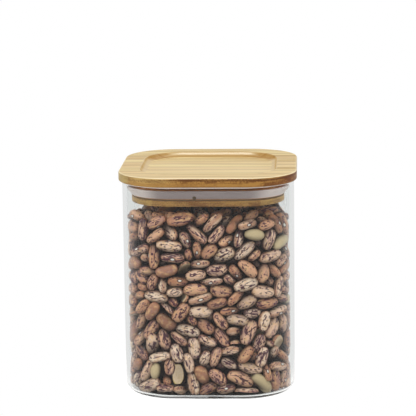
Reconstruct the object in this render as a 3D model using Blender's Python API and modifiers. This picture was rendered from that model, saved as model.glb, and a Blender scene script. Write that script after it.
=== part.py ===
"""A square glass canister of dried beans, with a bamboo lid that lifts off.

Metres, +Z up. The origin is the middle of the base, on the surface that the canister stands on.
The lid's three pieces are parented to an empty on the axis along which the lid lifts.
"""

import math
import random

import bmesh
import bpy
from mathutils import Matrix, Vector

# Glass jar
JAR_WIDTH = 0.1000
JAR_HEIGHT = 0.1255
JAR_CORNER_RADIUS = 0.0300
GLASS_WALL = 0.0022
GLASS_FLOOR = 0.0022
HEEL_RADIUS = 0.0046
INSIDE_HEEL_RADIUS = 0.0014
RIM_ROUNDING = 0.0010

# Top board of the lid
BOARD_WIDTH = 0.1036
BOARD_THICKNESS = 0.0055
BOARD_CORNER_RADIUS = 0.0285
BOARD_ROUNDING = 0.0008
RECESS_WIDTH = 0.0798
RECESS_CORNER_RADIUS = 0.0230
RECESS_DEPTH = 0.0030
COVE_RADIUS = 0.0057

# Plug board under it
PLUG_THICKNESS = 0.0120
PLUG_TO_GLASS = 0.0033
PLUG_ROUNDING = 0.0004
GROOVE_DEPTH = 0.0026
GROOVE_HEIGHT = 0.0062
GROOVE_BELOW_TOP = 0.0021

# Silicone seal in the plug's groove
SEAL_TO_GLASS = 0.0004
FLAP_THICKNESS = 0.0009
FLAP_CONTACT_HEIGHT = 0.0014
FLAP_ROOT_HEIGHT = 0.0010

# Bean fill, and the beans on its outside
HEADSPACE = 0.0052
BEAN_LENGTH = 0.0136
BEAN_WIDTH = 0.0082
BEAN_SHOULDER = 0.0021
BEAN_RISE = 0.0021
BEAN_CROWN = 0.0008
BEAN_SHIFT = 0.0013
BEAN_CORNER_SPACING = 0.0032
BEAN_SEED = 7
SHOULDER_SHARE = 0.4
DEEP_BEAN_SHARE = 0.6

# Gap between pieces that touch, and how far a cutter runs past what it cuts
TOUCH_GAP = 0.0003
OVERRUN = 0.0020
WELD_DISTANCE = 0.000001

# Steps in a quarter turn of an outline's corner, and across a rounded edge
CORNER_STEPS = 12
HEEL_STEPS = 6
COVE_STEPS = 6
ROUNDING_STEPS = 3
ROUNDED_ANGLE = math.radians(35)
FLAT_ANGLE = math.radians(0.5)

# Places that the sizes give
INSIDE_WIDTH = JAR_WIDTH - 2 * GLASS_WALL
INSIDE_CORNER_RADIUS = JAR_CORNER_RADIUS - GLASS_WALL
BOARD_UNDERSIDE = JAR_HEIGHT + TOUCH_GAP
BOARD_TOP = BOARD_UNDERSIDE + BOARD_THICKNESS
PLUG_TOP = BOARD_UNDERSIDE - TOUCH_GAP
PLUG_BOTTOM = PLUG_TOP - PLUG_THICKNESS
PLUG_WIDTH = INSIDE_WIDTH - 2 * PLUG_TO_GLASS
PLUG_CORNER_RADIUS = INSIDE_CORNER_RADIUS - PLUG_TO_GLASS
GROOVE_TOP = PLUG_TOP - GROOVE_BELOW_TOP
GROOVE_BOTTOM = GROOVE_TOP - GROOVE_HEIGHT


def new_collection(name):
    collection = bpy.data.collections.new(name)
    bpy.context.scene.collection.children.link(collection)
    return collection


def new_material(name, colour, roughness, transmission=0.0):
    material = bpy.data.materials.new(name)
    material.use_nodes = True
    material.diffuse_color = (*colour, 1.0)
    shader = material.node_tree.nodes["Principled BSDF"].inputs
    shader["Base Color"].default_value = (*colour, 1.0)
    shader["Roughness"].default_value = roughness
    shader["Metallic"].default_value = 0.0
    shader["Transmission Weight"].default_value = transmission
    return material


def add_outline(curve, width, corner_radius):
    """Add a closed spline to the curve: a square with round corners, centred on the origin."""
    reach = width / 2 - corner_radius
    points = []
    for quarter in range(4):
        turn = quarter * math.pi / 2
        middle = turn + math.pi / 4
        centre_x = math.copysign(reach, math.cos(middle))
        centre_y = math.copysign(reach, math.sin(middle))
        for step in range(CORNER_STEPS + 1):
            angle = turn + step / CORNER_STEPS * math.pi / 2
            x = centre_x + corner_radius * math.cos(angle)
            y = centre_y + corner_radius * math.sin(angle)
            points.append((x, y, 0, 1))
    spline = curve.splines.new("POLY")
    spline.points.add(len(points) - 1)
    for point, place in zip(spline.points, points):
        point.co = place
    spline.use_cyclic_u = True


def slab(name, collection, outlines, bottom, top):
    """A flat plate between two heights, as a mesh. A second outline inside the first is a hole."""
    curve = bpy.data.curves.new(name, "CURVE")
    curve.dimensions = "2D"
    curve.fill_mode = "BOTH"
    curve.extrude = (top - bottom) / 2
    for width, corner_radius in outlines:
        add_outline(curve, width, corner_radius)
    drawn = bpy.data.objects.new(name + "_drawn", curve)
    drawn.location.z = (top + bottom) / 2
    collection.objects.link(drawn)
    bpy.context.view_layer.update()
    graph = bpy.context.evaluated_depsgraph_get()
    mesh = bpy.data.meshes.new_from_object(drawn.evaluated_get(graph))
    mesh.name = name
    shape = bmesh.new()
    shape.from_mesh(mesh)
    bmesh.ops.remove_doubles(shape, verts=shape.verts, dist=WELD_DISTANCE)
    bmesh.ops.dissolve_limit(shape, angle_limit=FLAT_ANGLE, verts=shape.verts, edges=shape.edges)
    bmesh.ops.recalc_face_normals(shape, faces=shape.faces)
    shape.to_mesh(mesh)
    shape.free()
    mesh.shade_smooth()
    mesh.set_sharp_from_angle(angle=ROUNDED_ANGLE)
    plate = bpy.data.objects.new(name, mesh)
    plate.matrix_world = drawn.matrix_world
    collection.objects.link(plate)
    bpy.data.objects.remove(drawn)
    return plate


def round_bottom_edge(plate, radius, steps):
    """Round the edge all round a plate's bottom face."""
    shape = bmesh.new()
    shape.from_mesh(plate.data)
    height = min(vertex.co.z for vertex in shape.verts)
    ring = [
        edge
        for edge in shape.edges
        if len(edge.link_faces) == 2
        and all(abs(vertex.co.z - height) < WELD_DISTANCE for vertex in edge.verts)
        and edge.calc_face_angle() > ROUNDED_ANGLE
    ]
    bmesh.ops.bevel(shape, geom=ring, offset=radius, segments=steps, profile=0.5, affect="EDGES")
    shape.to_mesh(plate.data)
    shape.free()
    plate.data.shade_smooth()
    plate.data.set_sharp_from_angle(angle=ROUNDED_ANGLE)


def cut(piece, cutter):
    cutter.hide_render = True
    cutter.display_type = "WIRE"
    modifier = piece.modifiers.new(cutter.name, "BOOLEAN")
    modifier.operation = "DIFFERENCE"
    modifier.solver = "EXACT"
    modifier.object = cutter


def soften(piece, width):
    """Round every edge that is sharper than the steps of a curved face."""
    modifier = piece.modifiers.new("rounding", "BEVEL")
    modifier.limit_method = "ANGLE"
    modifier.angle_limit = ROUNDED_ANGLE
    modifier.width = width
    modifier.segments = ROUNDING_STEPS


def make_jar(parts, cutters):
    """Pressed glass: straight walls, a rounded heel and a fire-polished rim."""
    jar = slab("glass_jar", parts, [(JAR_WIDTH, JAR_CORNER_RADIUS)], 0, JAR_HEIGHT)
    round_bottom_edge(jar, HEEL_RADIUS, HEEL_STEPS)
    inside = [(INSIDE_WIDTH, INSIDE_CORNER_RADIUS)]
    hollow = slab("jar_hollow", cutters, inside, GLASS_FLOOR, JAR_HEIGHT + OVERRUN)
    round_bottom_edge(hollow, INSIDE_HEEL_RADIUS, HEEL_STEPS)
    cut(jar, hollow)
    soften(jar, RIM_ROUNDING)
    jar.data.materials.append(new_material("clear_glass", (0.90, 0.94, 0.92), 0.02, 1.0))


def point_round(width, corner_radius, share):
    """The point at a share of the way round a square with round corners, from its right side."""
    reach = width / 2 - corner_radius
    quarter_way = 2 * reach + corner_radius * math.pi / 2
    quarter, way = divmod(share % 1 * 4 * quarter_way, quarter_way)
    if way < 2 * reach:
        place = Vector((width / 2, way - reach))
    else:
        bend = Matrix.Rotation((way - 2 * reach) / corner_radius, 2)
        place = Vector((reach, reach)) + bend @ Vector((corner_radius, 0))
    return Matrix.Rotation(quarter * math.pi / 2, 2) @ place


def add_side_cells(shape, width, corner_radius, bottom, top, draw):
    """Add a block whose sides are divided like a brick wall. Returns those cells and its top."""
    girth = 4 * (width - 2 * corner_radius) + 2 * math.pi * corner_radius
    columns = round(girth / BEAN_LENGTH)
    rows = round((top - bottom) / BEAN_WIDTH)
    rings = []
    for row in range(rows + 1):
        height = bottom + (top - bottom) * row / rows
        between_rows = 0 < row < rows
        ring = []
        for half in range(2 * columns):
            shift = draw.uniform(-BEAN_SHIFT, BEAN_SHIFT)
            lift = draw.uniform(-BEAN_SHIFT, BEAN_SHIFT) * between_rows
            x, y = point_round(width, corner_radius, half / (2 * columns) + shift / girth)
            ring.append(shape.verts.new((x, y, height + lift)))
        rings.append(ring)
    cells = []
    for row in range(rows):
        for column in range(columns):
            halves = [(2 * column + row % 2 + step) % (2 * columns) for step in range(3)]
            lower = [rings[row][half] for half in halves]
            upper = [rings[row + 1][half] for half in reversed(halves)]
            cells.append(shape.faces.new(lower + upper))
    shape.faces.new(reversed(rings[0]))
    return cells, shape.faces.new(rings[-1])


def split(shape, faces, place, across):
    """Cut faces along a plane. Returns all the pieces."""
    edges = dict.fromkeys(edge for face in faces for edge in face.edges)
    corners = dict.fromkeys(corner for face in faces for corner in face.verts)
    geometry = [*faces, *edges, *corners]
    halves = bmesh.ops.bisect_plane(
        shape, geom=geometry, dist=BEAN_SHIFT, plane_co=place, plane_no=across
    )
    return [item for item in halves["geom"] if isinstance(item, bmesh.types.BMFace)]


def split_top(shape, top_face, width, draw):
    """Divide the block's top like a brick wall too. Returns its cells."""
    height = top_face.calc_center_median().z
    rows = round(width / BEAN_WIDTH)
    columns = round(width / BEAN_LENGTH)
    strips = [top_face]
    for row in range(1, rows):
        strips = split(shape, strips, (0, width * (row / rows - 1 / 2), 0), (0, 1, 0))
    strips.sort(key=lambda strip: strip.calc_center_median().y)
    for row, strip in enumerate(strips):
        cells = [strip]
        for column in range(columns + 1):
            x = width * ((column + row % 2 / 2) / columns - 1 / 2)
            cells = split(shape, cells, (x, 0, 0), (1, 0, 0))
    corners = [corner for corner in shape.verts if height - corner.co.z < WELD_DISTANCE]
    bmesh.ops.remove_doubles(shape, verts=corners, dist=BEAN_CORNER_SPACING)
    cells = [face for face in shape.faces if height - face.calc_center_median().z < WELD_DISTANCE]
    for corner in dict.fromkeys(corner for cell in cells for corner in cell.verts):
        if all(face in cells for face in corner.link_faces):
            corner.co.x += draw.uniform(-BEAN_SHIFT, BEAN_SHIFT)
            corner.co.y += draw.uniform(-BEAN_SHIFT, BEAN_SHIFT)
    return cells


def make_fill(parts):
    """The beans, as one block that fills the jar to just under the plug.

    Each bean that shows on its sides and top is a lump on a cell of its own. The cells meet at
    the bottom of the gaps between beans.
    """
    relief = BEAN_RISE + BEAN_CROWN
    width = INSIDE_WIDTH - 2 * TOUCH_GAP - 2 * relief
    corner_radius = INSIDE_CORNER_RADIUS - TOUCH_GAP - relief
    bottom = GLASS_FLOOR + TOUCH_GAP
    top = PLUG_BOTTOM - HEADSPACE - relief
    draw = random.Random(BEAN_SEED)
    shape = bmesh.new()
    cells, top_face = add_side_cells(shape, width, corner_radius, bottom, top, draw)
    cells += split_top(shape, top_face, width, draw)
    for cell in cells:
        room = SHOULDER_SHARE * 2 * cell.calc_area() / cell.calc_perimeter()
        shoulder = min(BEAN_SHOULDER, room)
        rise = BEAN_RISE * shoulder / BEAN_SHOULDER * draw.uniform(DEEP_BEAN_SHARE, 1)
        bmesh.ops.inset_individual(
            shape, faces=[cell], thickness=shoulder, depth=rise, use_even_offset=True
        )
    bmesh.ops.poke(shape, faces=cells, offset=BEAN_CROWN)
    mesh = bpy.data.meshes.new("bean_fill")
    shape.to_mesh(mesh)
    shape.free()
    mesh.shade_smooth()
    mesh.materials.append(new_material("dried_beans", (0.43, 0.25, 0.16), 0.45))
    parts.objects.link(bpy.data.objects.new("bean_fill", mesh))


def make_board(parts, cutters):
    """Glued bamboo board with a shallow recess routed in its top, with coved sides."""
    outline = [(BOARD_WIDTH, BOARD_CORNER_RADIUS)]
    board = slab("lid_top_board", parts, outline, BOARD_UNDERSIDE, BOARD_TOP)
    on_cove = min(RECESS_DEPTH, COVE_RADIUS)
    cove_run = math.sqrt(2 * COVE_RADIUS * on_cove - on_cove**2)
    past_edge = COVE_RADIUS - cove_run
    recess_outline = [(RECESS_WIDTH + 2 * past_edge, RECESS_CORNER_RADIUS + past_edge)]
    recess_bottom = BOARD_TOP - RECESS_DEPTH
    recess_top = recess_bottom + COVE_RADIUS + RECESS_DEPTH
    recess = slab("recess_cutter", cutters, recess_outline, recess_bottom, recess_top)
    round_bottom_edge(recess, COVE_RADIUS, COVE_STEPS)
    cut(board, recess)
    soften(board, BOARD_ROUNDING)
    board.data.materials.append(new_material("bamboo_board", (0.72, 0.56, 0.32), 0.50))
    return [board, recess]


def make_plug(parts, cutters):
    """Thicker bamboo board, glued under the top one, with a groove routed round its edge."""
    plug = slab("lid_plug_board", parts, [(PLUG_WIDTH, PLUG_CORNER_RADIUS)], PLUG_BOTTOM, PLUG_TOP)
    ring = [
        (PLUG_WIDTH + 2 * OVERRUN, PLUG_CORNER_RADIUS + OVERRUN),
        (PLUG_WIDTH - 2 * GROOVE_DEPTH, PLUG_CORNER_RADIUS - GROOVE_DEPTH),
    ]
    groove = slab("groove_cutter", cutters, ring, GROOVE_BOTTOM, GROOVE_TOP)
    cut(plug, groove)
    soften(plug, PLUG_ROUNDING)
    plug.data.materials.append(new_material("bamboo_plug", (0.62, 0.45, 0.24), 0.55))
    return [plug, groove]


def make_seal(parts, cutters):
    """Moulded silicone ring: a band that sits in the groove, and a flap that leans out to the glass."""
    inner_offset = GROOVE_DEPTH - TOUCH_GAP
    band = inner_offset
    reach = band + PLUG_TO_GLASS - SEAL_TO_GLASS
    height = GROOVE_HEIGHT - 2 * TOUCH_GAP
    section = [
        (0, 0),
        (band, 0),
        (reach, height - FLAP_CONTACT_HEIGHT),
        (reach, height),
        (reach - FLAP_THICKNESS, height),
        (band, FLAP_ROOT_HEIGHT),
        (band, height),
        (0, height),
    ]
    profile = bpy.data.curves.new("seal_section", "CURVE")
    profile.dimensions = "2D"
    profile.fill_mode = "NONE"
    spline = profile.splines.new("POLY")
    spline.points.add(len(section) - 1)
    for point, (outward, up) in zip(spline.points, section):
        point.co = (-outward, up, 0, 1)
    spline.use_cyclic_u = True
    guide = bpy.data.objects.new("seal_section", profile)
    guide.hide_render = True
    guide.display_type = "WIRE"
    cutters.objects.link(guide)

    path = bpy.data.curves.new("seal_ring", "CURVE")
    path.dimensions = "2D"
    path.fill_mode = "NONE"
    path.bevel_mode = "OBJECT"
    path.bevel_object = guide
    add_outline(path, PLUG_WIDTH - 2 * inner_offset, PLUG_CORNER_RADIUS - inner_offset)
    seal = bpy.data.objects.new("seal_ring", path)
    seal.location.z = GROOVE_BOTTOM + TOUCH_GAP
    parts.objects.link(seal)
    path.materials.append(new_material("silicone", (0.62, 0.60, 0.59), 0.45))
    return [seal]


def main():
    for stale in list(bpy.data.objects):
        bpy.data.objects.remove(stale)
    parts = new_collection("glass_canister")
    cutters = new_collection("cutters")
    make_jar(parts, cutters)
    make_fill(parts)
    lid = bpy.data.objects.new("lid_lift_axis", None)
    lid.location.z = BOARD_UNDERSIDE
    parts.objects.link(lid)
    bpy.context.view_layer.update()
    lid_pieces = make_board(parts, cutters) + make_plug(parts, cutters) + make_seal(parts, cutters)
    for piece in lid_pieces:
        piece.parent = lid
        piece.matrix_parent_inverse = lid.matrix_world.inverted()


main()
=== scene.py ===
import math

import bmesh
import bpy
import numpy as np
from mathutils import Matrix, Vector


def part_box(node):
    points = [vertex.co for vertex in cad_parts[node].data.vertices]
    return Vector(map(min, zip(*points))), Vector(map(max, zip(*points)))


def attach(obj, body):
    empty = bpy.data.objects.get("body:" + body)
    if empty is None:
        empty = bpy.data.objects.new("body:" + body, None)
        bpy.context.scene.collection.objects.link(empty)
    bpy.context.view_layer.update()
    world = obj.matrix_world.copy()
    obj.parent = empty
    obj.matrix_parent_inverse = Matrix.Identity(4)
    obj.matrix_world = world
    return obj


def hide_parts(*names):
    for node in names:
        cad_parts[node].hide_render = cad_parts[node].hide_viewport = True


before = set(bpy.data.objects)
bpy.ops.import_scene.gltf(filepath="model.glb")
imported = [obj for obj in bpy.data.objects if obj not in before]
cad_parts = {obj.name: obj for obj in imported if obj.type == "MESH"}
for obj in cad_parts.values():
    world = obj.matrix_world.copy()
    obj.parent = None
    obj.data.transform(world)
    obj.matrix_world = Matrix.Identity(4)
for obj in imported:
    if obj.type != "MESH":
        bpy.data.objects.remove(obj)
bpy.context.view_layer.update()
scene = bpy.context.scene
scene.view_settings.view_transform = "Standard"


# The camera stands a little over a metre off, slightly to the right of the front, and looks down
# by eleven degrees through a long lens. It leans very slightly, as in the photograph.
CAMERA_DISTANCE = 1.085
CAMERA_ELEVATION = math.radians(11.09)
CAMERA_AZIMUTH = math.radians(3.05)
CAMERA_LEAN = math.radians(0.748)
CAMERA_AIM_HEIGHT = 0.1040
CAMERA_AIM_SIDEWAYS = -0.0012
CAMERA_SENSOR = 36.0
CAMERA_LENS = 157.6
CAMERA_NEAREST = 0.05
CAMERA_FARTHEST = 50.0

back = Vector((
    math.sin(CAMERA_AZIMUTH) * math.cos(CAMERA_ELEVATION),
    -math.cos(CAMERA_AZIMUTH) * math.cos(CAMERA_ELEVATION),
    math.sin(CAMERA_ELEVATION),
))
level_right = Vector((math.cos(CAMERA_AZIMUTH), math.sin(CAMERA_AZIMUTH), 0))
level_up = back.cross(level_right)
right = level_right * math.cos(CAMERA_LEAN) - level_up * math.sin(CAMERA_LEAN)
up = level_right * math.sin(CAMERA_LEAN) + level_up * math.cos(CAMERA_LEAN)
aim = Vector((0, 0, CAMERA_AIM_HEIGHT)) + level_right * CAMERA_AIM_SIDEWAYS
camera = bpy.data.objects.new("camera", bpy.data.cameras.new("camera"))
camera.matrix_world = Matrix.LocRotScale(
    aim + back * CAMERA_DISTANCE, Matrix((right, up, back)).transposed(), None
)
camera.data.sensor_width = CAMERA_SENSOR
camera.data.lens = CAMERA_LENS
camera.data.clip_start = CAMERA_NEAREST
camera.data.clip_end = CAMERA_FARTHEST
scene.collection.objects.link(camera)
scene.camera = camera


# White studio: an even white surround, a pale floor that keeps the canister's shadow and carries a
# painted shadow, nearly black, right under the jar, and softboxes: a wide one high in front, one
# lower in front, one at each side, and one behind to the right.
FLOOR_HALF_WIDTH = 4.0
FLOOR_DROP = 0.0002
FLOOR_COLOUR = (0.90, 0.90, 0.90, 1)
UNDER_JAR_PAINTED_SHADOW = (0.03, 0.03, 0.03, 1)
UNDER_JAR_REACH = 0.0455
UNDER_JAR_END = 0.0463
UNDER_JAR_TAPER = 2.6
FLOOR_NEAR_GLOW = 0.60
FLOOR_SHADOW_REACH = 0.0500
FLOOR_SHADOW_END = 0.0720
SEEN_IN_GLASS = 0.79
SURROUND_LIGHT = 0.28
WHITE = (1, 1, 1, 1)
LOOKING_RAYS = ("Is Camera Ray", "Is Glossy Ray", "Is Transmission Ray")


class Wire:
    """An output of a shader node. Arithmetic on it adds Math nodes."""

    def __init__(self, finish, socket):
        self.finish = finish
        self.socket = socket

    def math(self, operation, *others):
        """A Math node of this operation, which starts with this output."""
        sockets = dict(enumerate((self, *others)))
        return self.finish.node("ShaderNodeMath", sockets, operation=operation)

    def __add__(self, other):
        return self.math("ADD", other)

    def __sub__(self, other):
        return self.math("SUBTRACT", other)

    def __mul__(self, other):
        return self.math("MULTIPLY", other)

    def __truediv__(self, other):
        return self.math("DIVIDE", other)

    def __rsub__(self, other):
        return self.finish.node("ShaderNodeMath", {0: other, 1: self}, operation="SUBTRACT")

    __radd__ = __add__
    __rmul__ = __mul__

    def ramp(self, start, end):
        """0 where the value is at start or before it, 1 at end or past it, and smooth between.

        The sections name such a start and end together, as a pair.
        """
        sockets = {"Value": self, "From Min": start, "From Max": end}
        return self.finish.node("ShaderNodeMapRange", sockets, interpolation_type="SMOOTHSTEP")

    def parts(self):
        """The three numbers of a place or direction."""
        return [self.finish.node("ShaderNodeSeparateXYZ", {0: self}, output) for output in range(3)]


class Finish:
    """The node tree of a material or a world, and the one method that adds nodes to it."""

    def __init__(self, owner):
        owner.use_nodes = True
        self.tree = owner.node_tree
        self.tree.nodes.clear()

    def node(self, kind, sockets=(), output=0, **settings):
        """One output of a new node. Its settings are made first, then its sockets' values or links."""
        made = self.tree.nodes.new(kind)
        for name, value in settings.items():
            setattr(made, name, value)
        for name, value in dict(sockets).items():
            if isinstance(value, Wire):
                self.tree.links.new(value.socket, made.inputs[name])
            else:
                made.inputs[name].default_value = value
        return Wire(self, made.outputs[output] if len(made.outputs) else None)

    def mix(self, factor, colour, other):
        """The first colour where the factor is 0, and the other where it is 1."""
        sockets = {0: factor, 6: colour, 7: other}
        return self.node("ShaderNodeMix", sockets, 2, data_type="RGBA")

    def stretched(self, place, by):
        """A place with each of its three numbers multiplied."""
        return self.node("ShaderNodeVectorMath", {0: place, 1: by}, operation="MULTIPLY")

    def noise(self, place, scale=1.0, detail=2.0, roughness=0.5):
        sockets = {"Vector": place, "Scale": scale, "Detail": detail, "Roughness": roughness}
        return self.node("ShaderNodeTexNoise", sockets)

    def whiteness(self):
        """How white the surround is for the camera: directly, mirrored or through glass. Else 0."""
        seen, *in_glass = [self.node("ShaderNodeLightPath", (), name) for name in LOOKING_RAYS]
        return seen.math("MAXIMUM", (in_glass[0] + in_glass[1]).math("MINIMUM", 1.0) * SEEN_IN_GLASS)


world = bpy.data.worlds.new("white_surround")
surround = Finish(world)
strength = surround.whiteness().math("MAXIMUM", SURROUND_LIGHT)
glow = surround.node("ShaderNodeBackground", {"Color": WHITE, "Strength": strength})
surround.node("ShaderNodeOutputWorld", {"Surface": glow})
scene.world = world

paper = Finish(bpy.data.materials.new("white_paper"))
x, y, _ = paper.node("ShaderNodeTexCoord", (), "Object").parts()
squared_reach = (x * x * x * x + y * y * y * y).math("POWER", 0.25)
beyond_jar = (squared_reach + x * x * UNDER_JAR_TAPER).ramp(UNDER_JAR_REACH, UNDER_JAR_END)
far = squared_reach.ramp(FLOOR_SHADOW_REACH, FLOOR_SHADOW_END)
# Painted shadow: the floor is nearly black under the jar, and glows white only beyond it.
paper_colour = paper.mix(beyond_jar, UNDER_JAR_PAINTED_SHADOW, FLOOR_COLOUR)
near_white = paper.node("ShaderNodeBsdfDiffuse", {"Color": paper_colour})
whiteness = paper.whiteness()
near_strength = whiteness * beyond_jar * FLOOR_NEAR_GLOW
near_glow = paper.node("ShaderNodeEmission", {"Color": WHITE, "Strength": near_strength})
far_glow = paper.node("ShaderNodeEmission", {"Color": WHITE, "Strength": whiteness})
near_surface = paper.node("ShaderNodeAddShader", {0: near_white, 1: near_glow})
looked_at = whiteness.math("GREATER_THAN", 0.0)
surface = paper.node("ShaderNodeMixShader", {0: far * looked_at, 1: near_surface, 2: far_glow})
paper.node("ShaderNodeOutputMaterial", {"Surface": surface})

floor_shape = bmesh.new()
bmesh.ops.create_grid(floor_shape, x_segments=1, y_segments=1, size=FLOOR_HALF_WIDTH)
floor = bpy.data.objects.new("floor", bpy.data.meshes.new("floor"))
floor_shape.to_mesh(floor.data)
floor_shape.free()
floor.location.z = -FLOOR_DROP
floor.data.materials.append(bpy.data.materials["white_paper"])
scene.collection.objects.link(floor)


def add_softbox(name, place, aim_height, width, height, power):
    """A lamp that faces the middle of the jar at some height over its base. Power is in watts."""
    lamp = bpy.data.lights.new(name, "AREA")
    lamp.shape = "RECTANGLE"
    lamp.size = width
    lamp.size_y = height
    lamp.energy = power
    box = bpy.data.objects.new(name, lamp)
    box.location = place
    towards = Vector((0, 0, aim_height)) - Vector(place)
    box.rotation_euler = towards.to_track_quat("-Z", "Y").to_euler()
    scene.collection.objects.link(box)


add_softbox("high_softbox", place=(-0.25, -0.75, 1.70), aim_height=0.10, width=1.3, height=1.1, power=15.9)
add_softbox("low_softbox", place=(-0.80, -1.90, 1.10), aim_height=0.05, width=1.0, height=0.8, power=6.4)
add_softbox("right_softbox", place=(1.50, -0.70, 0.60), aim_height=0.05, width=0.8, height=0.8, power=5.2)
add_softbox("left_softbox", place=(-1.50, -0.50, 0.60), aim_height=0.05, width=0.8, height=0.8, power=3.2)
add_softbox("back_softbox", place=(0.90, 0.80, 1.50), aim_height=0.10, width=0.9, height=0.9, power=6.0)


# The jar is pressed clear glass, all of one piece: straight walls about 2 mm thick between wide
# round corners, a rounded heel, a flat floor, and a rim that was melted round. The beans lie in it,
# and the lid closes it.
WALL = 0.0022
JAR_CORNER_RADIUS = 0.0300
JAR_FLOOR = 0.0022
HEEL_RADIUS = 0.0046
INSIDE_HEEL_RADIUS = 0.0014
RIM_RADIUS = 0.0010
GLASS_TINT = (0.96, 0.975, 0.97, 1)
GLASS_MIRROR = (0.40, 0.40, 0.40, 1)
GLASS_IOR = 1.47
GLASS_ROUGHNESS = 0.0
GLASS_BOUNCES = 3.5
GLASS_EDGE_ON = (0.66, 0.80)
GLASS_SHADE = (0.93, 0.94, 0.935, 1)
RIM_HIGHLIGHT_COLOUR = (0.97, 0.96, 0.93, 1)
RIM_HIGHLIGHT = 0.85
RIM_HIGHLIGHT_FROM = 0.70
RIM_HIGHLIGHT_FULL = 0.45
RIM_ROUGHNESS = 0.5
RIM_PAINTED_GLOW = 0.25
CORNER_STEPS = 28
SIDE_STEPS = 8
FLAT_MARGIN = 0.0006
SHARP_ANGLE = math.radians(40)


def arc(out, up, radius, start, end, steps):
    """A rounded edge in a section: how far out and how high each point is. Angles are in degrees."""
    turns = [math.radians(start + (end - start) * step / steps) for step in range(steps + 1)]
    return [(out + radius * math.cos(turn), up + radius * math.sin(turn)) for turn in turns]


def outline(half_width, reach):
    """Points of a square with round corners, whose corners are centred at reach from the middle."""
    points = []
    for quarter in range(4):
        turn = Matrix.Rotation(quarter * math.pi / 2, 2)
        for step in range(SIDE_STEPS):
            share = 2 * step / SIDE_STEPS - 1
            points.append(turn @ Vector((half_width, share * reach)))
        for step in range(CORNER_STEPS):
            angle = step / CORNER_STEPS * math.pi / 2
            round_off = Vector((math.cos(angle), math.sin(angle))) * (half_width - reach)
            points.append(turn @ (Vector((reach, reach)) + round_off))
    return points


def add_squared(name, section, material, closed=False):
    """A piece whose section runs all round a square with round corners.

    The section lists how far out a point is, how high, and where its corners are centred. Its
    two ends are filled in flat, unless it is closed.
    """
    shape = bmesh.new()
    rings = []
    for out, height, reach in section:
        corners = [(*point, height) for point in outline(out, reach)]
        rings.append([shape.verts.new(corner) for corner in corners])
    pairs = list(zip(rings, rings[1:]))
    if closed:
        pairs.append((rings[-1], rings[0]))
    for lower, upper in pairs:
        for place, point in enumerate(lower):
            shape.faces.new((lower[place - 1], point, upper[place], upper[place - 1]))
    if not closed:
        shape.faces.new(reversed(rings[0]))
        shape.faces.new(rings[-1])
    piece = bpy.data.objects.new(name, bpy.data.meshes.new(name))
    shape.to_mesh(piece.data)
    shape.free()
    piece.data.shade_smooth()
    piece.data.set_sharp_from_angle(angle=SHARP_ANGLE)
    piece.data.materials.append(material)
    scene.collection.objects.link(piece)
    return piece


jar_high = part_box("glass_jar")[1]
jar_half = jar_high.x
jar_height = jar_high.z
jar_reach = jar_half - JAR_CORNER_RADIUS
inside_half = jar_half - WALL
heel_out = jar_half - HEEL_RADIUS
inside_heel_out = inside_half - INSIDE_HEEL_RADIUS

clear_glass = bpy.data.materials.new("clear_glass_finish")
glass = Finish(clear_glass)
pressed = glass.node("ShaderNodeBsdfPrincipled", {
    "Base Color": GLASS_TINT,
    "Roughness": GLASS_ROUGHNESS,
    "IOR": GLASS_IOR,
    "Specular Tint": GLASS_MIRROR,
    "Transmission Weight": 1.0,
})
let_through = glass.node("ShaderNodeBsdfTransparent", {"Color": GLASS_SHADE})
for_lamps = glass.node("ShaderNodeLightPath", (), "Is Shadow Ray")
for_bounces = glass.node("ShaderNodeLightPath", (), "Is Diffuse Ray")
bounces = glass.node("ShaderNodeLightPath", (), "Ray Depth")
trapped = bounces.math("GREATER_THAN", GLASS_BOUNCES)
light_passes = for_lamps.math("MAXIMUM", for_bounces).math("MAXIMUM", trapped)
place = glass.node("ShaderNodeTexCoord", (), "Object")
height = place.parts()[2]
outward = glass.stretched(glass.node("ShaderNodeTexCoord", (), "Normal"), (1, 1, 0))
inward = glass.node("ShaderNodeVectorMath", {0: place, 1: outward}, 1, operation="DOT_PRODUCT")
edge_on = glass.node("ShaderNodeLayerWeight", {"Blend": 0.5}, "Facing").ramp(*GLASS_EDGE_ON)
see_past = edge_on * inward.math("LESS_THAN", 0.0)
light_passes = light_passes.math("MAXIMUM", see_past)
clear = glass.node("ShaderNodeMixShader", {0: light_passes, 1: pressed, 2: let_through})
# Painted highlight: the top of the rim is a rough white surface with a faint painted glow. It stands in
# for the light that the glass carries up to its rim.
highlight_from = jar_height - RIM_HIGHLIGHT_FROM * RIM_RADIUS
on_rim = height.ramp(highlight_from, jar_height - RIM_HIGHLIGHT_FULL * RIM_RADIUS)
painted_rim_highlight = glass.node("ShaderNodeBsdfPrincipled", {
    "Base Color": RIM_HIGHLIGHT_COLOUR,
    "Roughness": RIM_ROUGHNESS,
    "Emission Color": RIM_HIGHLIGHT_COLOUR,
    "Emission Strength": RIM_PAINTED_GLOW,
})
surface = glass.node("ShaderNodeMixShader", {0: on_rim * RIM_HIGHLIGHT, 1: clear, 2: painted_rim_highlight})
glass.node("ShaderNodeOutputMaterial", {"Surface": surface})

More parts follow.
